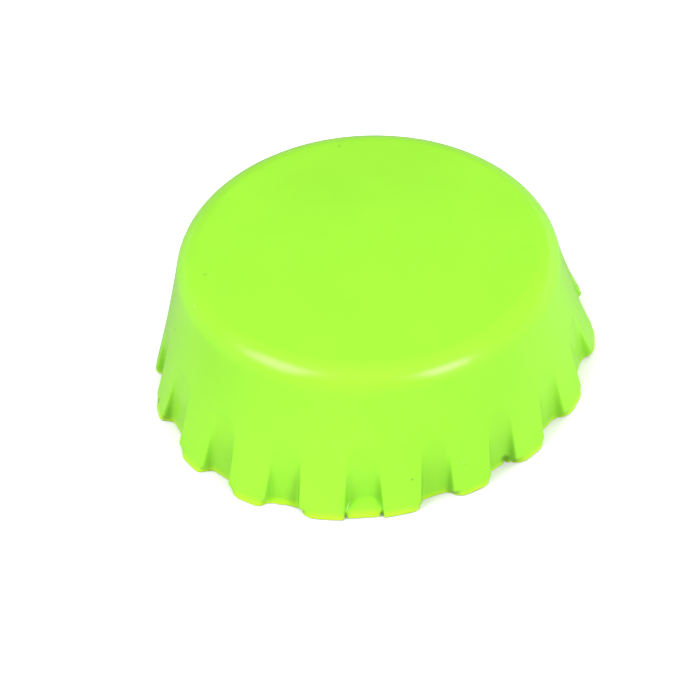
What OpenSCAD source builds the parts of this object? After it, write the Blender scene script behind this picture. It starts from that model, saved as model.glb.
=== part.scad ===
// Stretch-on bottle cap, moulded in one piece of soft silicone rubber and shaped like a crown cork:
// a flat deck, a rounded shoulder, a flared wall and a fluted skirt. It stands mouth down, with the
// origin at the centre of its foot, +Z up its axis and a flute centred on -Y.

/* [Body] */
// Diameter across the tips of the skirt's teeth
skirt_d = 30; // [29:0.1:32]
// Height from the foot to the top of the deck
cap_h = 10; // [9:0.1:12]
// Widest diameter of the rounded shoulder
shoulder_d = 25.6; // [25:0.1:26.5]
// Radius of the rounded shoulder
shoulder_r = 1.8; // [1:0.1:2.4]
// How much steeper than a straight cone the wall leaves the shoulder, in degrees
flare = 2.8; // [0.5:0.1:5]
// Radius that rounds the outer edge of the foot
foot_r = 0.25; // [0.1:0.05:0.4]

/* [Skirt] */
// Number of flutes round the skirt
flute_count = 18; // [14:1:22]
// Width of a flute at the tips of the teeth
flute_w = 2.5; // [2.2:0.1:3]
// Width of a flute's flat floor, measured to its sharp corners
floor_w = 1.9; // [1.2:0.1:2]
// Depth of a flute at the foot
flute_depth = 0.85; // [0.4:0.05:1.1]
// Lean of a flute's floor from upright, in degrees
floor_lean = 3.5; // [0:0.5:6]
// Radius between a flute's floor and its sides
floor_fillet = 0.45; // [0.1:0.05:0.5]

/* [Inside] */
// Thickness of the deck
deck_t = 2; // [1.4:0.1:2.6]
// Diameter of the retaining land that grips the bottle's neck
land_d = 23.8; // [23:0.1:24.4]
// Height of the retaining land
land_h = 1; // [0.6:0.1:1.4]
// Radius of the rounded lead-in below the land
lead_r = 1; // [0.6:0.05:1.2]
// How far the recess above the land stands back from it
undercut = 0.5; // [0.2:0.05:0.7]
// Diameter of the cavity where its wall meets the ceiling
ceiling_d = 23.4; // [22.6:0.1:23.8]
// Radius between the cavity's wall and its ceiling
ceiling_fillet = 1; // [0.4:0.1:1.4]

/* [Hidden] */
$fn = 180;
over = 1;

skirt_r = skirt_d / 2;
silicone = "#a8f848";

// Centres of the rounds at the shoulder and the foot, as [radius, height]
shoulder_c = [shoulder_d / 2 - shoulder_r, cap_h - shoulder_r];
foot_c = [skirt_r - foot_r, foot_r];

// The wall is one arc, hollow outwards, that touches both rounds. It leaves the shoulder at
// wall_lean from upright, and straight_lean is the lean of the straight line that touches both.
span = foot_c - shoulder_c;
straight_lean = atan2(span[0], -span[1]) - asin((shoulder_r - foot_r) / norm(span));
wall_lean = straight_lean - flare;
wall_normal = [cos(wall_lean), sin(wall_lean)];
reach = span * wall_normal;
wall_r = (span * span - 2 * shoulder_r * reach + pow(shoulder_r, 2) - pow(foot_r, 2))
       / (2 * (reach - shoulder_r + foot_r));
wall_c = shoulder_c + (shoulder_r + wall_r) * wall_normal;
shoulder_touch = shoulder_c + shoulder_r * wall_normal;
foot_touch = wall_c + (foot_c - wall_c) * wall_r / (wall_r + foot_r);

// Flute: the slope of its sides and the centre of the round between a side and the floor
floor_r = skirt_r - flute_depth;
side_slope = atan2((flute_w - floor_w) / 2, flute_depth);
fillet_y = floor_w / 2 - floor_fillet * (1 - sin(side_slope)) / cos(side_slope);
fillet_side = [floor_fillet * (1 - sin(side_slope)), fillet_y + floor_fillet * cos(side_slope)];
flute_mouth_x = flute_depth + over;
flute_mouth_y = floor_w / 2 + flute_mouth_x * tan(side_slope);

// Cavity: heights up its wall
land_r = land_d / 2;
land_top = lead_r + land_h;
recess_z = land_top + undercut;
ceiling_z = cap_h - deck_t;
ceiling_r = ceiling_d / 2;
recess_r = land_r + undercut;
taper = atan2(recess_r - ceiling_r, ceiling_z - recess_z);
fillet_c = [ceiling_r - ceiling_fillet * (1 - sin(taper)) / cos(taper), ceiling_z - ceiling_fillet];
fillet_touch = fillet_c + ceiling_fillet * [cos(taper), sin(taper)];

// Half section of the cap's outside, filled in to the axis
module outside_section() {
    difference() {
        polygon([
            [0, 0], [foot_c[0], 0], foot_c, foot_touch,
            shoulder_touch, shoulder_c, [shoulder_c[0], cap_h], [0, cap_h]
        ]);
        translate(wall_c) circle(wall_r);
    }
    translate(shoulder_c) circle(shoulder_r);
    translate(foot_c) circle(foot_r);
}

// Half section of the hollow: rounded lead-in, land, undercut, tapering recess and ceiling
module cavity_section() {
    difference() {
        polygon([
            [0, -over], [land_r + lead_r, -over], [land_r + lead_r, 0], [land_r, lead_r],
            [land_r, land_top], [recess_r, recess_z], fillet_touch, [fillet_c[0], ceiling_z],
            [0, ceiling_z]
        ]);
        translate([land_r + lead_r, lead_r]) circle(lead_r);
    }
    translate(fillet_c) circle(ceiling_fillet);
}

// Plan of one flute, with its floor on the Y axis and its mouth towards +X
module flute_plan() {
    polygon([
        [0, -fillet_y], [0, fillet_y], fillet_side, [flute_mouth_x, flute_mouth_y],
        [flute_mouth_x, -flute_mouth_y], [fillet_side[0], -fillet_side[1]]
    ]);
    for (side = [-1, 1])
        translate([floor_fillet, side * fillet_y]) circle(floor_fillet);
}

// One flute, leaning in with the wall, on the +X side of the skirt
module flute() {
    translate([floor_r, 0, 0])
        rotate([0, -floor_lean, 0])
            translate([0, 0, -over])
                linear_extrude(cap_h + over)
                    flute_plan();
}

module cap() {
    color(silicone)
    difference() {
        rotate_extrude() outside_section();
        rotate_extrude() cavity_section();
        for (i = [0 : flute_count - 1])
            rotate([0, 0, -90 + i * 360 / flute_count]) flute();
    }
}

cap();
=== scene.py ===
"""A stretch-on bottle cap, moulded in one piece of lime green silicone rubber.

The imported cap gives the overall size. This scene builds the same moulding again as a finer mesh, with
the soft edges, the moulding flash and the slightly oval set of a real soft cap, and dresses it.
"""

import logging
import math
from dataclasses import dataclass
from enum import Enum

import bmesh
import bpy
from mathutils import Matrix, Vector, noise

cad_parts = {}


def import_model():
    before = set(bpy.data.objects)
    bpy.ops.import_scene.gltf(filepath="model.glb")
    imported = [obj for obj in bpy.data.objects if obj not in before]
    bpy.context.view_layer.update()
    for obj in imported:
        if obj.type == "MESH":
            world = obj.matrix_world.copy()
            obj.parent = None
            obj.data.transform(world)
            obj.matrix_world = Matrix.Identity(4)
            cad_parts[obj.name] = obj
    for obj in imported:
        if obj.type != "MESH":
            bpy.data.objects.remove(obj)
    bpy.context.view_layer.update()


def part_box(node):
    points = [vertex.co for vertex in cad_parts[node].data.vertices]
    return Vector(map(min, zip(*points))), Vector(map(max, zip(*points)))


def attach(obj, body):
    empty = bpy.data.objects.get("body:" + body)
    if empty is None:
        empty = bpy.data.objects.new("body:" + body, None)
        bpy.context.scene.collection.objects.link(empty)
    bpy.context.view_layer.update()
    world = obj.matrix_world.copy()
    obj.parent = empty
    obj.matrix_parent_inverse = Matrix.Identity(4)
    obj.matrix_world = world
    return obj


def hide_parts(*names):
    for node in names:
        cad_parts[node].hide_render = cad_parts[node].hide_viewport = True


MM = 0.001
Y_AXIS, Z_AXIS = Vector((0, 1, 0)), Vector((0, 0, 1))

log = logging.getLogger("bottle_cap")


def linear_colour(hex_value: str) -> tuple[float, float, float, float]:
    """Turns an sRGB hex colour to the linear values that a shader takes.

    Args:
        hex_value: The colour as six hex digits, with or without a leading hash.

    Returns:
        Linear red, green, blue and an alpha of one.
    """
    digits = hex_value.lstrip("#")
    levels = [int(digits[i : i + 2], 16) / 255 for i in (0, 2, 4)]
    linear = [v / 12.92 if v <= 0.04045 else ((v + 0.055) / 1.055) ** 2.4 for v in levels]
    return (linear[0], linear[1], linear[2], 1.0)


def smooth_step(value: float) -> float:
    """Eases a value from 0 to 1, held at both ends."""
    t = min(max(value, 0.0), 1.0)
    return t * t * (3 - 2 * t)


def soft_minimum(a: float, b: float, width: float) -> float:
    """Takes the smaller of two values, rounding off the corner where they cross.

    Args:
        a: One value.
        b: The other value.
        width: How far apart the values are where the rounding starts.

    Returns:
        The smaller value, or a little less where the two are close.
    """
    share = max(width - abs(a - b), 0.0) / width
    return min(a, b) - share * share * width / 4


def add_node(
    tree: bpy.types.NodeTree,
    kind: str,
    settings: dict[str, object] | None = None,
    values: dict[str, object] | None = None,
    links: dict[str, bpy.types.NodeSocket] | None = None,
) -> bpy.types.Node:
    """Adds one shader node with its settings, its constant inputs and the links into it.

    Args:
        tree: The node tree that the node goes in.
        kind: The node's type, such as ShaderNodeMix.
        settings: Properties of the node itself.
        values: Constant values by the input's identifier.
        links: Output sockets of other nodes by the identifier of the input that they feed.

    Returns:
        The new node.
    """
    node = tree.nodes.new(kind)
    for name, value in (settings or {}).items():
        setattr(node, name, value)
    inputs = {socket.identifier: socket for socket in node.inputs}
    for name, value in (values or {}).items():
        inputs[name].default_value = value
    for name, socket in (links or {}).items():
        tree.links.new(socket, inputs[name])
    return node


def outlet(node: bpy.types.Node, identifier: str) -> bpy.types.NodeSocket:
    """Finds a node's output by its identifier, where several share one name."""
    return next(socket for socket in node.outputs if socket.identifier == identifier)


class FluteFoot(Enum):
    """How moulding flash has left the foot of a flute."""

    CLEAN = "trimmed flush"
    LIP = "a thin lip of flash along the foot"
    WEB = "a web of flash, torn from the teeth on both sides"
    SPLIT = "a small split beside one tooth"


@dataclass
class SectionPen:
    """Draws a half section in the XZ plane, as one chain of edges.

    The tip is the vertex that the next stroke starts from. All lengths are in millimetres.
    """

    mesh: bmesh.types.BMesh
    tip: bmesh.types.BMVert

    @classmethod
    def start(cls, mesh: bmesh.types.BMesh, radius: float, height: float) -> "SectionPen":
        """Puts the pen down at a radius and a height."""
        return cls(mesh, mesh.verts.new((radius * MM, 0, height * MM)))

    def place(self) -> Vector:
        """Gives the tip's radius and height."""
        return Vector((self.tip.co.x, self.tip.co.z)) / MM

    def line(self, radius: float, height: float, parts: int) -> None:
        """Draws a straight stroke.

        Args:
            radius: Radius of its end.
            height: Height of its end.
            parts: Number of equal edges along it.
        """
        step = (Vector((radius, height)) - self.place()) / parts
        for _ in range(parts):
            target = self.place() + step
            grown = bmesh.ops.extrude_vert_indiv(self.mesh, verts=[self.tip])
            self.tip = grown["verts"][0]
            self.tip.co = (target.x * MM, 0, target.y * MM)

    def arc(self, centre: Vector, degrees: float, parts: int) -> None:
        """Draws an arc about a centre.

        Args:
            centre: Radius and height of the arc's centre.
            degrees: Sweep, positive from straight up towards straight out.
            parts: Number of equal edges along it.
        """
        swept = bmesh.ops.spin(
            self.mesh,
            geom=[self.tip],
            cent=(centre.x * MM, 0, centre.y * MM),
            axis=Y_AXIS,
            angle=math.radians(degrees),
            steps=parts,
            use_duplicate=False,
        )
        self.tip = next(g for g in swept["geom_last"] if isinstance(g, bmesh.types.BMVert))

    def corner(self, at: Vector, towards: Vector, radius: float, parts: int, lead: int = 1) -> None:
        """Draws a straight stroke to a corner, and rounds the corner towards the next point.

        Args:
            at: Where the sharp corner would be.
            towards: The point that the next stroke makes for.
            radius: Radius of the round.
            parts: Number of edges in the round.
            lead: Number of edges in the straight stroke before it.
        """
        inward = (self.place() - at).normalized()
        outward = (towards - at).normalized()
        half = inward.angle(outward) / 2
        begin = at + inward * radius / math.tan(half)
        centre = at + (inward + outward).normalized() * radius / math.sin(half)
        turn = 180 - math.degrees(2 * half)
        side = inward.x * outward.y - inward.y * outward.x
        self.line(begin.x, begin.y, lead)
        self.arc(centre, math.copysign(turn, side), parts)


@dataclass
class CapSection:
    """The cap's half section, in millimetres, as it comes from the mould."""

    skirt_r: float
    height: float
    shoulder_d: float = 25.6
    shoulder_r: float = 1.8
    flare: float = 2.8
    foot_r: float = 0.15
    deck_t: float = 2.0
    land_d: float = 23.8
    land_h: float = 1.0
    lead_r: float = 1.0
    undercut: float = 0.5
    ceiling_d: float = 23.4
    ceiling_fillet: float = 1.0
    inner_round: float = 0.2
    crimp_top: float = 4.6

    def __post_init__(self) -> None:
        """Works out the one arc of the wall, which touches the rounds at the shoulder and the foot."""
        self.shoulder_c = Vector((self.shoulder_d / 2 - self.shoulder_r, self.height - self.shoulder_r))
        self.foot_c = Vector((self.skirt_r - self.foot_r, self.foot_r))
        span = self.foot_c - self.shoulder_c
        straight = math.atan2(span.x, -span.y) - math.asin((self.shoulder_r - self.foot_r) / span.length)
        lean = straight - math.radians(self.flare)
        normal = Vector((math.cos(lean), math.sin(lean)))
        reach = span.dot(normal)
        gap = reach - self.shoulder_r + self.foot_r
        self.wall_r = (
            span.length_squared - 2 * self.shoulder_r * reach + self.shoulder_r**2 - self.foot_r**2
        ) / (2 * gap)
        self.wall_c = self.shoulder_c + normal * (self.shoulder_r + self.wall_r)
        self.wall_lean = math.degrees(lean)
        towards_foot = self.foot_c - self.wall_c
        self.foot_touch = self.wall_c + towards_foot * self.wall_r / (self.wall_r + self.foot_r)
        self.mouth_r = self.land_d / 2 + self.lead_r

    def wall_radius(self, height: float) -> float:
        """Radius of the flared wall at a height."""
        rise = height - self.wall_c.y
        return self.wall_c.x - math.sqrt(self.wall_r**2 - rise * rise)

    def wall_angle(self, height: float) -> float:
        """Where a height lies on the wall's arc, in degrees above level, seen from its centre."""
        return math.degrees(math.asin((self.wall_c.y - height) / self.wall_r))

    def draw(self, mesh: bmesh.types.BMesh) -> None:
        """Draws the half section, from the middle of the deck to the middle of the ceiling.

        Args:
            mesh: The mesh that it is drawn in.
        """
        pen = SectionPen.start(mesh, 0, self.height)
        pen.line(self.shoulder_c.x, self.height, 18)
        pen.arc(self.shoulder_c, 90 - self.wall_lean, 14)
        self.draw_wall(pen)
        foot_sweep = 90 + self.wall_angle(self.foot_touch.y)
        pen.arc(self.foot_c, foot_sweep, 8)
        pen.line(self.mouth_r, 0, 8)
        pen.arc(Vector((self.mouth_r, self.lead_r)), 90, 8)
        self.draw_cavity(pen)

    def draw_wall(self, pen: SectionPen) -> None:
        """Draws the wall as two stretches of its arc, with fine edges where the flutes are.

        Args:
            pen: The pen, at the end of the shoulder.
        """
        top = self.wall_angle(self.shoulder_c.y + self.shoulder_r * math.sin(math.radians(self.wall_lean)))
        crimp = self.wall_angle(self.crimp_top)
        foot = self.wall_angle(self.foot_touch.y)
        pen.arc(self.wall_c, top - crimp, 9)
        pen.arc(self.wall_c, crimp - foot, 40)

    def draw_cavity(self, pen: SectionPen) -> None:
        """Draws the land, the undercut, the tapering recess and the ceiling.

        Args:
            pen: The pen, at the top of the lead-in.
        """
        land_r = self.land_d / 2
        land_top = Vector((land_r, self.lead_r + self.land_h))
        recess = Vector((land_r + self.undercut, land_top.y + self.undercut))
        ceiling = Vector((self.ceiling_d / 2, self.height - self.deck_t))
        pen.corner(land_top, recess, self.inner_round, 4, lead=2)
        pen.corner(recess, ceiling, self.inner_round, 4)
        pen.corner(ceiling, Vector((0, ceiling.y)), self.ceiling_fillet, 8, lead=6)
        pen.line(0, ceiling.y, 8)


@dataclass
class Crimp:
    """The flutes pressed into the skirt, in millimetres and degrees.

    A flute is a trough with a flat floor and sloping sides, and it fades out where its floor, which is
    nearly upright, meets the flared wall. Low down the teeth between the flutes have rounded corners, and
    some of the flutes keep moulding flash at the foot.
    """

    section: CapSection
    count: int = 18
    first: float = -90.0
    width: float = 2.5
    floor_w: float = 1.9
    depth: float = 0.85
    lean: float = 3.5
    fillet: float = 0.45
    edge_round: float = 0.3
    left_corner: float = 1.05
    right_corner: float = 0.55
    corner_height: float = 0.7
    gather_from: float = 3.2
    gather_over: float = 1.4
    web_reach: float = 0.72
    web_height: float = 1.1
    web_hold: float = 1.3
    web_half: float = 1.09
    slit: float = 0.05
    lip_reach: float = 0.22
    lip_height: float = 0.32
    lip_round: float = 0.1
    split_at: float = 0.8
    split_w: float = 0.18
    split_depth: float = 0.7
    split_height: float = 0.8

    def __post_init__(self) -> None:
        """Works out where the rounds between the floor and the sides start and end."""
        self.pitch = 360 / self.count
        self.slope = math.atan2((self.width - self.floor_w) / 2, self.depth)
        shoulder = self.fillet * (1 - math.sin(self.slope))
        self.round_start = self.floor_w / 2 - shoulder / math.cos(self.slope)
        self.side_rise = shoulder
        self.side_start = self.round_start + self.fillet * math.cos(self.slope)

    def floor_x(self, height: float) -> float:
        """Distance of a flute's floor from the axis at a height."""
        return self.section.skirt_r - self.depth - height * math.tan(math.radians(self.lean))

    def rise(self, across: float) -> float:
        """Works out how far the trough stands out from its floor.

        Args:
            across: Distance across from the middle of the flute.

        Returns:
            Distance outwards, 0 on the flat of the floor.
        """
        if across <= self.round_start:
            return 0.0
        if across <= self.side_start:
            return self.fillet - math.sqrt(self.fillet**2 - (across - self.round_start) ** 2)
        return self.side_rise + (across - self.side_start) / math.tan(self.slope)

    def flash(self, foot: FluteFoot, across: float, height: float) -> float:
        """How far moulding flash stands out from the trough.

        Args:
            foot: How the flash has left this flute's foot.
            across: Signed distance across from the flute's middle.
            height: Height above the foot.

        Returns:
            Distance outwards, below zero for a split into the wall.
        """
        if foot is FluteFoot.WEB:
            window = smooth_step((self.web_half - abs(across)) / self.slit)
            thinned = smooth_step(self.web_hold * (1 - height / self.web_height))
            return max(self.web_reach * window * thinned - self.rise(abs(across)), 0.0)
        if foot is FluteFoot.LIP:
            window = smooth_step((self.web_half - abs(across)) / self.slit)
            return self.lip_reach * window * smooth_step((self.lip_height - height) / self.lip_round)
        if foot is FluteFoot.SPLIT:
            window = smooth_step(1 - abs(across - self.split_at) / self.split_w)
            return -self.split_depth * window * smooth_step(1 - height / self.split_height)
        return 0.0

    def trough_radius(self, degrees: float, height: float, foot: FluteFoot) -> float:
        """Radius of a flute's surface.

        Args:
            degrees: Signed angle from the flute's middle.
            height: Height above the foot.
            foot: How flash has left this flute's foot.

        Returns:
            Radius in millimetres, far outside the wall over a tooth.
        """
        angle = math.radians(degrees)
        radius = floor = self.floor_x(height)
        for _ in range(4):
            radius = (floor + self.rise(abs(radius * math.sin(angle)))) / math.cos(angle)
        return radius + self.flash(foot, radius * math.sin(angle), height)

    def tooth_radius(self, degrees: float, height: float, foot: FluteFoot) -> float:
        """Radius of the wall over a tooth, whose corners are rounded off low down beside open flutes.

        Args:
            degrees: Signed angle from the nearest flute's middle.
            height: Height above the foot.
            foot: How flash has left that flute's foot.

        Returns:
            Radius in millimetres.
        """
        wall = self.section.wall_radius(height)
        if foot is FluteFoot.WEB:
            return wall
        corner = self.left_corner if degrees > 0 else self.right_corner
        inside = wall * math.radians(abs(degrees)) - self.width / 2
        short = min(max(corner - inside, 0.0), corner)
        drop = corner - math.sqrt(corner**2 - short * short)
        return wall - min(drop, self.depth) * smooth_step(1 - height / self.corner_height)

    def edge_share(self, height: float) -> float:
        """Finds the flute's edge, where its side meets the wall.

        Args:
            height: Height above the foot.

        Returns:
            Where the edge lies between the middle of the flute, 0, and the middle of a tooth, 1.
        """
        wall = self.section.wall_radius(height)
        stand = max(wall - self.floor_x(height) - self.side_rise, 0.0)
        across = self.side_start + stand * math.tan(self.slope)
        edge = math.degrees(math.asin(across / wall)) / (self.pitch / 2)
        return edge + (0.5 - edge) * smooth_step((height - self.gather_from) / self.gather_over)


@dataclass(frozen=True)
class Wave:
    """One wave round the foot's outline, in millimetres and degrees."""

    order: int
    size: float
    towards: float

    def stretch(self, azimuth: float) -> tuple[float, float]:
        """How far the wave moves the foot outwards, and how far round it, at an azimuth in radians."""
        phase = self.order * (azimuth - math.radians(self.towards))
        return self.size * math.cos(phase), -self.size * math.sin(phase) / self.order


@dataclass
class SoftSet:
    """How the soft cap has set as it stands, in millimetres and degrees.

    The foot has spread out of round, as a skirt does that bends more easily than it stretches. A few of
    the flutes have crept round it, and it bulges a little at the right. The deck holds its shape. Each
    creep or bulge is a direction round the foot, counted from +X towards +Y, with its amount there.
    """

    spread: float = 0.05
    fade: float = 1.5
    waves: tuple[Wave, ...] = (Wave(1, 0.35, -85.0), Wave(2, 0.6, 48.35), Wave(3, 0.1, 6.4))
    creeps: tuple[tuple[float, float], ...] = (
        (-167.0, 0.0),
        (-155.0, -1.8),
        (-145.0, 0.0),
        (-103.0, 0.0),
        (-95.0, 0.75),
        (-85.0, 1.2),
        (-75.0, 0.1),
        (-60.0, -0.7),
        (-55.0, -0.4),
        (-45.0, -1.4),
        (-34.0, -1.5),
        (-16.0, 0.0),
        (-6.0, 3.4),
        (5.0, 4.4),
        (16.0, 6.5),
        (75.0, 0.0),
    )
    bulges: tuple[tuple[float, float], ...] = (
        (-16.0, 0.0),
        (-4.0, 0.25),
        (9.0, 0.36),
        (23.0, 0.62),
        (36.0, 0.45),
        (75.0, 0.0),
    )

    def look_up(self, table: tuple[tuple[float, float], ...], azimuth: float) -> float:
        """Reads one of the lists of places and amounts round the foot.

        Args:
            table: Places in degrees, each with its amount.
            azimuth: Direction from the axis, in radians.

        Returns:
            The amount, eased from each place in the list to the next, and 0 outside it.
        """
        place = math.degrees(azimuth)
        for (low, before), (high, after) in zip(table, table[1:]):
            if low <= place < high:
                return before + (after - before) * smooth_step((place - low) / (high - low))
        return 0.0

    def place(self, co: Vector, height: float, foot_r: float) -> Vector:
        """Moves a point of the moulding to where it sits in the soft cap.

        Args:
            co: The point, in metres.
            height: The cap's height, in metres.
            foot_r: Radius of the foot, in metres.

        Returns:
            The moved point.
        """
        azimuth = math.atan2(co.y, co.x)
        low = max(1 - co.z / height, 0.0) ** self.fade
        share = low * co.xy.length / foot_r * MM
        moves = [wave.stretch(azimuth) for wave in self.waves]
        spread = self.spread + self.look_up(self.bulges, azimuth)
        out = co.xy.length + (spread + sum(move[0] for move in moves)) * share
        around = sum(move[1] for move in moves) * share
        along = azimuth + math.radians(self.look_up(self.creeps, azimuth)) * low
        return Vector(
            (
                out * math.cos(along) - around * math.sin(along),
                out * math.sin(along) + around * math.cos(along),
                co.z,
            )
        )


@dataclass(frozen=True)
class Dimple:
    """A shallow hollow in the deck, in millimetres."""

    x: float
    y: float
    depth: float
    radius: float

    def sink(self, co: Vector) -> float:
        """How far the deck sinks at a point, in metres."""
        away = math.hypot(co.x / MM - self.x, co.y / MM - self.y) / self.radius
        return self.depth * MM * math.exp(-away * away)


@dataclass
class BottleCap:
    """The whole moulding: deck, shoulder, wall, fluted skirt and cavity."""

    section: CapSection
    crimp: Crimp
    soft_set: SoftSet
    steps_per_flute: int = 32
    gather: float = 0.55
    wave_length: float = 8.0
    wave_depth: float = 0.02
    crown: float = 0.3
    feet: tuple[tuple[int, FluteFoot], ...] = (
        (0, FluteFoot.WEB),
        (17, FluteFoot.LIP),
        (2, FluteFoot.SPLIT),
    )
    dimples: tuple[Dimple, ...] = (Dimple(10.2, 0.2, 0.05, 0.9), Dimple(-9.0, -4.0, 0.03, 1.0))

    def build(self) -> bpy.types.Object:
        """Builds the cap's mesh and its object at the origin.

        Returns:
            The finished piece, without its material.
        """
        mesh = bmesh.new()
        self.section.draw(mesh)
        self.revolve(mesh)
        self.gather_columns(mesh)
        self.press_flutes(mesh)
        self.unlevel_deck(mesh)
        self.settle(mesh)
        bmesh.ops.recalc_face_normals(mesh, faces=mesh.faces)
        for face in mesh.faces:
            face.smooth = True
        data = bpy.data.meshes.new("moulded_cap")
        mesh.to_mesh(data)
        mesh.free()
        piece = bpy.data.objects.new("moulded_cap", data)
        bpy.context.scene.collection.objects.link(piece)
        return piece

    def revolve(self, mesh: bmesh.types.BMesh) -> None:
        """Spins the half section round the axis and closes the middle of the deck and the ceiling.

        Args:
            mesh: The mesh that holds the half section.
        """
        bmesh.ops.spin(
            mesh,
            geom=mesh.verts[:] + mesh.edges[:],
            cent=(0, 0, 0),
            axis=Z_AXIS,
            angle=math.tau,
            steps=self.crimp.count * self.steps_per_flute,
            use_merge=True,
            use_duplicate=False,
        )
        bmesh.ops.remove_doubles(mesh, verts=mesh.verts[:], dist=0.0001 * MM)

    def flute_place(self, co: Vector) -> tuple[int, float]:
        """Finds the flute that a point is nearest to.

        Args:
            co: The point, in metres.

        Returns:
            The flute's number, and the signed angle from its middle in degrees.
        """
        turn = (math.degrees(math.atan2(co.y, co.x)) - self.crimp.first) / self.crimp.pitch
        number = round(turn)
        return number % self.crimp.count, (turn - number) * self.crimp.pitch

    def is_skirt(self, co: Vector) -> bool:
        """Tells whether a point is on the part of the skirt that the flutes reach."""
        return co.xy.length > (self.section.mouth_r + 0.001) * MM and co.z < self.section.crimp_top * MM

    def gather_columns(self, mesh: bmesh.types.BMesh) -> None:
        """Draws the mesh's columns together along the flutes' edges, which lean in as they rise.

        Args:
            mesh: The round cap.
        """
        half = self.crimp.pitch / 2
        for vert in mesh.verts:
            radius = vert.co.xy.length
            if radius < 0.01 * MM:
                continue
            number, degrees = self.flute_place(vert.co)
            share = abs(degrees) / half
            share += self.gather * math.sin(math.tau * share) / math.tau
            if self.is_skirt(vert.co):
                edge = self.crimp.edge_share(vert.co.z / MM)
                share = share * edge * 2 if share < 0.5 else edge + (share - 0.5) * (1 - edge) * 2
            turned = self.crimp.first + number * self.crimp.pitch + math.copysign(share * half, degrees)
            vert.co.x = radius * math.cos(math.radians(turned))
            vert.co.y = radius * math.sin(math.radians(turned))

    def press_flutes(self, mesh: bmesh.types.BMesh) -> None:
        """Presses the flutes into the wall, and draws the edge of the foot in with them.

        Args:
            mesh: The round cap, with its columns gathered.
        """
        states = dict(self.feet)
        mouth, foot = self.section.mouth_r, self.section.foot_c.x
        for vert in mesh.verts:
            if not self.is_skirt(vert.co):
                continue
            number, degrees = self.flute_place(vert.co)
            radius = vert.co.xy.length / MM
            height = max(vert.co.z / MM, self.section.foot_touch.y)
            wall = self.section.wall_radius(height)
            state = states.get(number, FluteFoot.CLEAN)
            tooth = self.crimp.tooth_radius(degrees, height, state)
            trough = self.crimp.trough_radius(degrees, height, state)
            pressed = wall - soft_minimum(tooth, trough, self.crimp.edge_round)
            share = min((radius - mouth) / (foot - mouth), 1.0) if vert.co.z < 0.01 * MM else 1.0
            scale = (radius - pressed * share) / radius
            vert.co.x *= scale
            vert.co.y *= scale

    def unlevel_deck(self, mesh: bmesh.types.BMesh) -> None:
        """Gives the outside the faint crown and waves of a soft moulding, and sinks the dimples.

        Args:
            mesh: The fluted cap.
        """
        flat_r = self.section.shoulder_c.x * MM
        for vert in mesh.verts:
            wave = noise.noise(vert.co / (self.wave_length * MM)) * self.wave_depth * MM
            if vert.co.z > (self.section.height - self.section.shoulder_r) * MM:
                vert.co.z -= abs(wave) + sum(d.sink(vert.co) for d in self.dimples)
                rim = min(vert.co.xy.length / flat_r, 1.0)
                vert.co.z += self.crown * MM * (1 - rim * rim) ** 1.5
            elif vert.co.xy.length > self.section.mouth_r * MM and vert.co.z > 0:
                vert.co.xy += vert.co.xy.normalized() * wave

    def settle(self, mesh: bmesh.types.BMesh) -> None:
        """Lets the cap take its soft set."""
        for vert in mesh.verts:
            vert.co = self.soft_set.place(vert.co, self.section.height * MM, self.section.skirt_r * MM)


@dataclass(frozen=True)
class SpeckOrShadeSpot:
    """A dot of dust, a pit or a scuff on the rubber, or a spot of painted shade, in millimetres."""

    x: float
    y: float
    z: float
    radius: float
    strength: float
    colour: str = "#5f8f2a"


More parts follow.
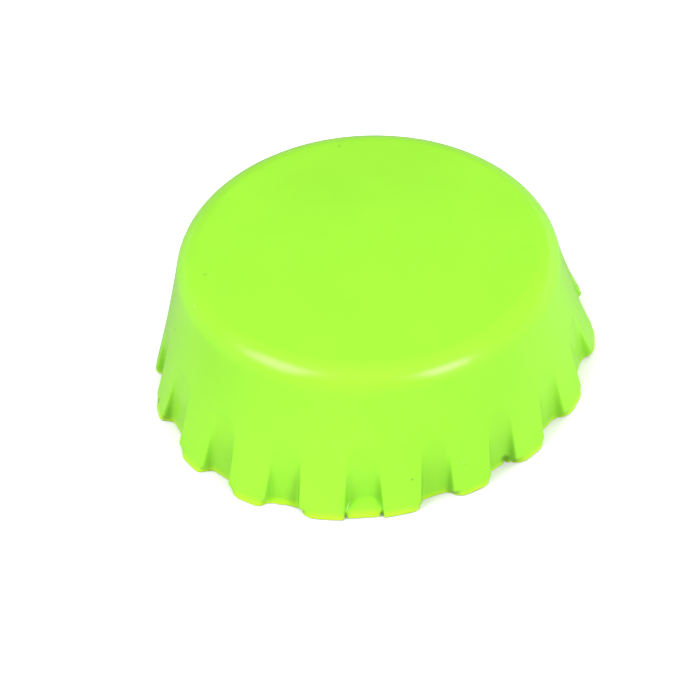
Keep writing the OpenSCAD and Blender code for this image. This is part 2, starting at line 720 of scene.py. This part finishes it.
@dataclass(frozen=True)
class SiliconeRubber:
    """Silicone rubber, cast in a polished steel mould and coloured through with lime green pigment.

    The eye gets a satin skin with broad soft highlights, a pale sheen where it is seen at a slant, and
    thin edges that let a little light through. The colour has a painted yellower glow at the foot for that
    light, painted shade in the flutes and a few spots of painted shade in the slits.
    """

    colour: str = "#a6f43c"
    deep_colour: str = "#9cec38"
    # painted light: a yellower glow at the thin foot, for the light that passes through the rubber there
    painted_glow_colour: str = "#caff32"
    roughness: float = 0.24
    ior: float = 1.41
    translucence: float = 0.05
    light_travel_mm: float = 0.3
    mottle_mm: float = 5.0
    grain_mm: float = 0.18
    grain_depth_mm: float = 0.002
    # painted shade: the deeper green that ambient occlusion mixes into the flutes and creases
    painted_crease_shade_colour: str = "#54a812"
    painted_crease_shade_reach_mm: float = 2.5
    painted_crease_shade_share: float = 0.75
    painted_glow_height_mm: float = 0.7
    specks_and_shade_spots: tuple[SpeckOrShadeSpot, ...] = (
        SpeckOrShadeSpot(3.1, -14.12, 2.37, 0.13, 0.8),
        SpeckOrShadeSpot(6.37, -12.7, 2.53, 0.1, 0.45, "#e6ffb4"),
        SpeckOrShadeSpot(6.52, -12.69, 2.28, 0.09, 0.4),
        SpeckOrShadeSpot(6.63, -13.22, 0.48, 0.1, 0.6),
        SpeckOrShadeSpot(-12.75, -4.08, 6.19, 0.13, 0.85),
        SpeckOrShadeSpot(-11.02, -5.4, 9.47, 0.12, 0.45, "#e6ffb4"),
        SpeckOrShadeSpot(-11.86, -7.81, 3.97, 0.16, 0.3, "#e6ffb4"),
        SpeckOrShadeSpot(-14.3, -5.2, 0.68, 0.28, 0.9),
        # painted shade: the next three dark spots stand for the shade in the two slits beside the web and
        # in the split of one flute
        SpeckOrShadeSpot(-1.12, -15.2, 0.3, 0.32, 0.8, "#4c7a14"),
        SpeckOrShadeSpot(1.1, -15.1, 0.3, 0.32, 0.8, "#4c7a14"),
        SpeckOrShadeSpot(8.95, -10.5, 0.6, 0.45, 0.6, "#4c7a14"),
        SpeckOrShadeSpot(-2.3, 10.45, 10.0, 0.22, 0.3),
        SpeckOrShadeSpot(-10.5, -2.92, 10.0, 0.3, 0.2),
    )

    def build(self) -> bpy.types.Material:
        """Makes the material.

        Returns:
            The silicone rubber material.
        """
        material = bpy.data.materials.new("moulded_silicone_rubber")
        material.use_nodes = True
        tree = material.node_tree
        tree.nodes.clear()
        place = add_node(tree, "ShaderNodeTexCoord").outputs["Object"]
        skin = add_node(
            tree,
            "ShaderNodeBsdfPrincipled",
            {"subsurface_method": "RANDOM_WALK"},
            {
                "IOR": self.ior,
                "Subsurface Weight": self.translucence,
                "Subsurface Radius": (1.0, 0.8, 0.15),
                "Subsurface Scale": self.light_travel_mm * MM,
            },
            {
                "Base Color": self.colour_socket(tree, place),
                "Roughness": self.roughness_socket(tree, place),
                "Normal": self.grain_socket(tree, place),
            },
        )
        add_node(tree, "ShaderNodeOutputMaterial", links={"Surface": skin.outputs["BSDF"]})
        return material

    def colour_socket(
        self, tree: bpy.types.NodeTree, place: bpy.types.NodeSocket
    ) -> bpy.types.NodeSocket:
        """Mottles the green faintly, paints a yellower glow on the thin foot, paints shade into the flutes
        and adds the dust, pits, scuffs and spots of painted shade.

        Args:
            tree: The material's node tree.
            place: Object coordinates.

        Returns:
            The colour of the rubber.
        """
        clouds = add_node(
            tree,
            "ShaderNodeTexNoise",
            values={"Scale": 1 / (self.mottle_mm * MM), "Detail": 2.0, "Roughness": 0.5},
            links={"Vector": place},
        )
        base = add_node(
            tree,
            "ShaderNodeMix",
            {"data_type": "RGBA"},
            {"A_Color": linear_colour(self.colour), "B_Color": linear_colour(self.deep_colour)},
            {"Factor_Float": clouds.outputs["Fac"]},
        )
        height = add_node(tree, "ShaderNodeSeparateXYZ", links={"Vector": place}).outputs["Z"]
        # painted light: the glow fades in from this height down to the foot
        thin = add_node(
            tree,
            "ShaderNodeMapRange",
            {"interpolation_type": "SMOOTHSTEP"},
            {"From Min": self.painted_glow_height_mm * MM, "From Max": 0.0},
            {"Value": height},
        )
        glow_painted_colour = add_node(
            tree,
            "ShaderNodeMix",
            {"data_type": "RGBA"},
            {"B_Color": linear_colour(self.painted_glow_colour)},
            {"Factor_Float": thin.outputs["Result"], "A_Color": outlet(base, "Result_Color")},
        )
        colour = self.paint_crease_shade(tree, outlet(glow_painted_colour, "Result_Color"))
        for speck_or_shade in self.specks_and_shade_spots:
            colour = self.add_speck_or_shade(tree, place, colour, speck_or_shade)
        return colour

    def paint_crease_shade(
        self, tree: bpy.types.NodeTree, colour: bpy.types.NodeSocket
    ) -> bpy.types.NodeSocket:
        """Paints shade into the flutes: a deeper green where the surface is hemmed in, standing for the
        shade that falls there.

        Args:
            tree: The material's node tree.
            colour: The colour on the open surface.

        Returns:
            The colour, with painted shade in the creases.
        """
        # painted shade: the more the surface is hemmed in, the more of the deeper green it gets
        shade_occlusion = add_node(
            tree,
            "ShaderNodeAmbientOcclusion",
            {"only_local": True, "samples": 8},
            {"Distance": self.painted_crease_shade_reach_mm * MM},
        )
        depth = add_node(
            tree,
            "ShaderNodeMapRange",
            values={"From Min": 1.0, "From Max": 0.5, "To Max": self.painted_crease_shade_share},
            links={"Value": shade_occlusion.outputs["AO"]},
        )
        crease_shaded_colour = add_node(
            tree,
            "ShaderNodeMix",
            {"data_type": "RGBA"},
            {"B_Color": linear_colour(self.painted_crease_shade_colour)},
            {"Factor_Float": depth.outputs["Result"], "A_Color": colour},
        )
        return outlet(crease_shaded_colour, "Result_Color")

    def add_speck_or_shade(
        self,
        tree: bpy.types.NodeTree,
        place: bpy.types.NodeSocket,
        colour: bpy.types.NodeSocket,
        speck_or_shade: SpeckOrShadeSpot,
    ) -> bpy.types.NodeSocket:
        """Puts one mark on the rubber: dust, a pit, a scuff or a spot of painted shade.

        Args:
            tree: The material's node tree.
            place: Object coordinates.
            colour: The colour without the mark.
            speck_or_shade: The mark.

        Returns:
            The colour with the mark.
        """
        away = add_node(
            tree,
            "ShaderNodeVectorMath",
            {"operation": "DISTANCE"},
            {"Vector_001": (speck_or_shade.x * MM, speck_or_shade.y * MM, speck_or_shade.z * MM)},
            {"Vector": place},
        )
        fade = add_node(
            tree,
            "ShaderNodeMapRange",
            {"interpolation_type": "SMOOTHSTEP"},
            {"From Min": speck_or_shade.radius * MM, "From Max": 0.0, "To Max": speck_or_shade.strength},
            {"Value": away.outputs["Value"]},
        )
        dusted = add_node(
            tree,
            "ShaderNodeMix",
            {"data_type": "RGBA"},
            {"B_Color": linear_colour(speck_or_shade.colour)},
            {"Factor_Float": fade.outputs["Result"], "A_Color": colour},
        )
        return outlet(dusted, "Result_Color")

    def roughness_socket(
        self, tree: bpy.types.NodeTree, place: bpy.types.NodeSocket
    ) -> bpy.types.NodeSocket:
        """Varies the satin of the skin a little, as handling does.

        Args:
            tree: The material's node tree.
            place: Object coordinates.

        Returns:
            The roughness of the skin.
        """
        clouds = add_node(
            tree,
            "ShaderNodeTexNoise",
            values={"Scale": 1 / (self.mottle_mm * 0.5 * MM), "Detail": 3.0},
            links={"Vector": place},
        )
        spread = add_node(
            tree,
            "ShaderNodeMapRange",
            values={"To Min": self.roughness - 0.04, "To Max": self.roughness + 0.04},
            links={"Value": clouds.outputs["Fac"]},
        )
        return spread.outputs["Result"]

    def grain_socket(
        self, tree: bpy.types.NodeTree, place: bpy.types.NodeSocket
    ) -> bpy.types.NodeSocket:
        """Gives the skin its faint grain, drawn coarser than the real one so that it shows.

        Args:
            tree: The material's node tree.
            place: Object coordinates.

        Returns:
            The normal of the grained skin.
        """
        grain = add_node(
            tree,
            "ShaderNodeTexNoise",
            values={"Scale": 1 / (self.grain_mm * MM), "Detail": 2.0},
            links={"Vector": place},
        )
        bump = add_node(
            tree,
            "ShaderNodeBump",
            values={"Strength": 1.0, "Distance": self.grain_depth_mm * MM},
            links={"Height": grain.outputs["Fac"]},
        )
        return bump.outputs["Normal"]


@dataclass
class SoftBox:
    """A soft light aimed at the cap, in millimetres and degrees.

    Azimuth 0 is the -Y side, and it grows towards +X. Level is the brightness that the light alone gives
    a white card that faces it. A light that isn't mirrored leaves no highlight on the rubber.
    """

    name: str
    azimuth: float
    elevation: float
    distance: float
    width: float
    tall: float
    level: float
    mirrored: bool = True

    def build(self, aim: Vector) -> None:
        """Hangs the light.

        Args:
            aim: The point that it faces, in metres.
        """
        light = bpy.data.lights.new(self.name, "AREA")
        light.shape = "RECTANGLE"
        light.size = self.width * MM
        light.size_y = self.tall * MM
        light.energy = self.level * (math.pi * self.distance * MM) ** 2
        lamp = bpy.data.objects.new(self.name, light)
        bpy.context.scene.collection.objects.link(lamp)
        out = direction(self.azimuth, self.elevation)
        lamp.location = aim + out * self.distance * MM
        lamp.rotation_euler = out.to_track_quat("Z", "Y").to_euler()
        lamp.visible_glossy = self.mirrored


def direction(azimuth: float, elevation: float) -> Vector:
    """Points from the cap to where an azimuth and an elevation in degrees lie."""
    a, e = math.radians(azimuth), math.radians(elevation)
    return Vector((math.sin(a) * math.cos(e), -math.cos(a) * math.cos(e), math.sin(e)))


@dataclass
class TableCamera:
    """A camera that looks down on the cap from its front, in millimetres and degrees."""

    azimuth: float = 3.69
    elevation: float = 42.23
    distance: float = 154.5
    focal_length: float = 117.6
    aim_right: float = -1.488
    aim_up: float = -3.283
    roll: float = 2.71

    def build(self, middle: Vector) -> None:
        """Sets the camera up and makes it the scene's.

        Args:
            middle: The middle of the cap, in metres.
        """
        back = direction(self.azimuth, self.elevation)
        right = Z_AXIS.cross(back).normalized()
        up = back.cross(right)
        station = middle + back * self.distance * MM
        aim = middle + right * self.aim_right * MM + up * self.aim_up * MM
        back = (station - aim).normalized()
        right = up.cross(back).normalized()
        up = back.cross(right)
        tilt = math.radians(self.roll)
        rolled_up = up * math.cos(tilt) + right * math.sin(tilt)
        rolled_right = right * math.cos(tilt) - up * math.sin(tilt)
        data = bpy.data.cameras.new("table_camera")
        data.sensor_width = 36
        data.lens = self.focal_length
        data.clip_start = MM
        camera = bpy.data.objects.new("table_camera", data)
        bpy.context.scene.collection.objects.link(camera)
        turn = Matrix((rolled_right, rolled_up, back)).transposed().to_4x4()
        camera.matrix_world = Matrix.Translation(station) @ turn
        bpy.context.scene.camera = camera


@dataclass(frozen=True)
class WhitePaper:
    """Matt white paper under the cap. The eye gets an even white that keeps a soft shadow.

    The camera sees the paper whiter than the cap does, and it goes plain white further out. Close under
    the skirt, where the cap covers most of the sky, it has a painted shadow.
    """

    colour: str = "#f4f4f4"
    bounce_colour: str = "#5c5c5c"
    mirrored_colour: str = "#c4c4c4"
    shadow_lift: float = 0.45
    plain_from_mm: float = 60.0
    plain_to_mm: float = 160.0
    painted_contact_shadow_mm: float = 2.2
    painted_contact_shadow_share: float = 0.42
    open_sky: float = 0.95
    covered_sky: float = 0.3

    def build(self) -> bpy.types.Material:
        """Makes the material.

        Returns:
            The paper, which the camera sees whiter than the cap does, so that the flutes keep their shade.
        """
        material = bpy.data.materials.new("matt_white_paper")
        material.use_nodes = True
        tree = material.node_tree
        tree.nodes.clear()
        paper = add_node(tree, "ShaderNodeBsdfDiffuse", values={"Color": linear_colour(self.colour)})
        path = add_node(tree, "ShaderNodeLightPath").outputs
        tone = add_node(
            tree,
            "ShaderNodeMix",
            {"data_type": "RGBA"},
            {
                "A_Color": linear_colour(self.bounce_colour),
                "B_Color": linear_colour(self.mirrored_colour),
            },
            {"Factor_Float": path["Is Glossy Ray"]},
        )
        dim = add_node(tree, "ShaderNodeBsdfDiffuse", links={"Color": outlet(tone, "Result_Color")})
        place = add_node(tree, "ShaderNodeTexCoord").outputs["Object"]
        away = add_node(tree, "ShaderNodeVectorMath", {"operation": "LENGTH"}, links={"Vector": place})
        glow = add_node(
            tree,
            "ShaderNodeMapRange",
            {"interpolation_type": "SMOOTHSTEP"},
            {
                "From Min": self.plain_from_mm * MM,
                "From Max": self.plain_to_mm * MM,
                "To Min": self.shadow_lift,
            },
            {"Value": away.outputs["Value"]},
        )
        lift = add_node(tree, "ShaderNodeEmission", links={"Strength": glow.outputs["Result"]})
        both = add_node(
            tree,
            "ShaderNodeAddShader",
            links={"Shader": paper.outputs["BSDF"], "Shader_001": lift.outputs["Emission"]},
        )
        # painted shadow: ambient occlusion mixes the paper towards the dim grey close under the skirt
        shade_occlusion = add_node(
            tree,
            "ShaderNodeAmbientOcclusion",
            {"samples": 8},
            {"Distance": self.painted_contact_shadow_mm * MM},
        )
        painted_contact_shadow = add_node(
            tree,
            "ShaderNodeMapRange",
            {"interpolation_type": "SMOOTHSTEP"},
            {
                "From Min": self.open_sky,
                "From Max": self.covered_sky,
                "To Max": self.painted_contact_shadow_share,
            },
            {"Value": shade_occlusion.outputs["AO"]},
        )
        white = add_node(
            tree,
            "ShaderNodeMixShader",
            links={
                "Fac": painted_contact_shadow.outputs["Result"],
                "Shader": both.outputs["Shader"],
                "Shader_001": dim.outputs["BSDF"],
            },
        )
        mix = add_node(
            tree,
            "ShaderNodeMixShader",
            links={
                "Fac": path["Is Camera Ray"],
                "Shader": dim.outputs["BSDF"],
                "Shader_001": white.outputs["Shader"],
            },
        )
        add_node(tree, "ShaderNodeOutputMaterial", links={"Surface": mix.outputs["Shader"]})
        return material


@dataclass
class Studio:
    """The white table, the soft boxes and the pale room round the cap.

    The room is brightest low down, and darker on the side of the camera. The fills widen the light of the
    soft boxes but leave no highlight, which would wash out the flat deck where it is seen from behind.
    """

    middle: Vector
    floor_radius: float = 3000.0
    horizon_level: float = 0.9
    ceiling_level: float = 0.26
    horizon_top: float = 0.1
    ceiling_from: float = 0.3
    front_share: float = 0.2
    front_until: float = -0.85
    sides_from: float = -0.25
    boxes: tuple[SoftBox, ...] = (
        SoftBox("left_soft_box", -58, 45, 250, 120, 113, 0.6),
        SoftBox("left_fill", -58, 26, 250, 120, 57, 0.31, mirrored=False),
        SoftBox("right_soft_box", 45, 34, 250, 90, 100, 0.55),
        SoftBox("right_fill", 45, 14, 250, 90, 70, 0.33, mirrored=False),
        SoftBox("rear_fill", 128, 8, 250, 160, 55, 0.45, mirrored=False),
    )

    def build(self) -> None:
        """Builds the floor, the lamps, the world and the camera."""
        self.build_floor()
        for box in self.boxes:
            box.build(self.middle)
        self.build_world()
        TableCamera().build(self.middle)

    def build_floor(self) -> None:
        """Lays the white table."""
        mesh = bmesh.new()
        bmesh.ops.create_circle(mesh, cap_ends=True, radius=self.floor_radius * MM, segments=64)
        data = bpy.data.meshes.new("table")
        mesh.to_mesh(data)
        mesh.free()
        floor = bpy.data.objects.new("table", data)
        bpy.context.scene.collection.objects.link(floor)
        data.materials.append(WhitePaper().build())

    def build_world(self) -> None:
        """Fills the room with plain light, brighter low down, and shows it white behind the cap."""
        world = bpy.data.worlds.new("pale_room")
        bpy.context.scene.world = world
        world.use_nodes = True
        tree = world.node_tree
        tree.nodes.clear()
        towards = add_node(tree, "ShaderNodeTexCoord").outputs["Generated"]
        axes = add_node(tree, "ShaderNodeSeparateXYZ", links={"Vector": towards}).outputs
        level = add_node(
            tree,
            "ShaderNodeMapRange",
            {"interpolation_type": "SMOOTHSTEP"},
            {
                "From Min": self.horizon_top,
                "From Max": self.ceiling_from,
                "To Min": self.horizon_level,
                "To Max": self.ceiling_level,
            },
            {"Value": axes["Z"]},
        )
        share = add_node(
            tree,
            "ShaderNodeMapRange",
            {"interpolation_type": "SMOOTHSTEP"},
            {
                "From Min": self.front_until,
                "From Max": self.sides_from,
                "To Min": self.front_share,
            },
            {"Value": axes["Y"]},
        )
        strength = add_node(
            tree,
            "ShaderNodeMath",
            {"operation": "MULTIPLY"},
            links={"Value": level.outputs["Result"], "Value_001": share.outputs["Result"]},
        )
        white = {"Color": (1, 1, 1, 1)}
        room = add_node(tree, "ShaderNodeBackground", None, white, {"Strength": strength.outputs["Value"]})
        plain = add_node(tree, "ShaderNodeBackground", None, white)
        seen = add_node(tree, "ShaderNodeLightPath").outputs["Is Camera Ray"]
        mix = add_node(
            tree,
            "ShaderNodeMixShader",
            links={
                "Fac": seen,
                "Shader": room.outputs["Background"],
                "Shader_001": plain.outputs["Background"],
            },
        )
        add_node(tree, "ShaderNodeOutputWorld", links={"Surface": mix.outputs["Shader"]})


def main() -> None:
    """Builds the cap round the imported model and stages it."""
    logging.basicConfig(level=logging.INFO, format="%(name)s: %(message)s")
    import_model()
    low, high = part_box("cap")
    bpy.context.scene.view_settings.view_transform = "Standard"

    section = CapSection(skirt_r=(high.x - low.x) / 2 / MM, height=high.z / MM)
    cap = BottleCap(section, Crimp(section), SoftSet()).build()
    cap.data.materials.append(SiliconeRubber().build())
    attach(cap, "root")
    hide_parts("cap")
    log.info("%s: %d faces", cap.name, len(cap.data.polygons))

    Studio(middle=Vector((0, 0, high.z / 2))).build()
    log.info("studio: table, soft boxes, room and camera")


if __name__ == "__main__":
    main()
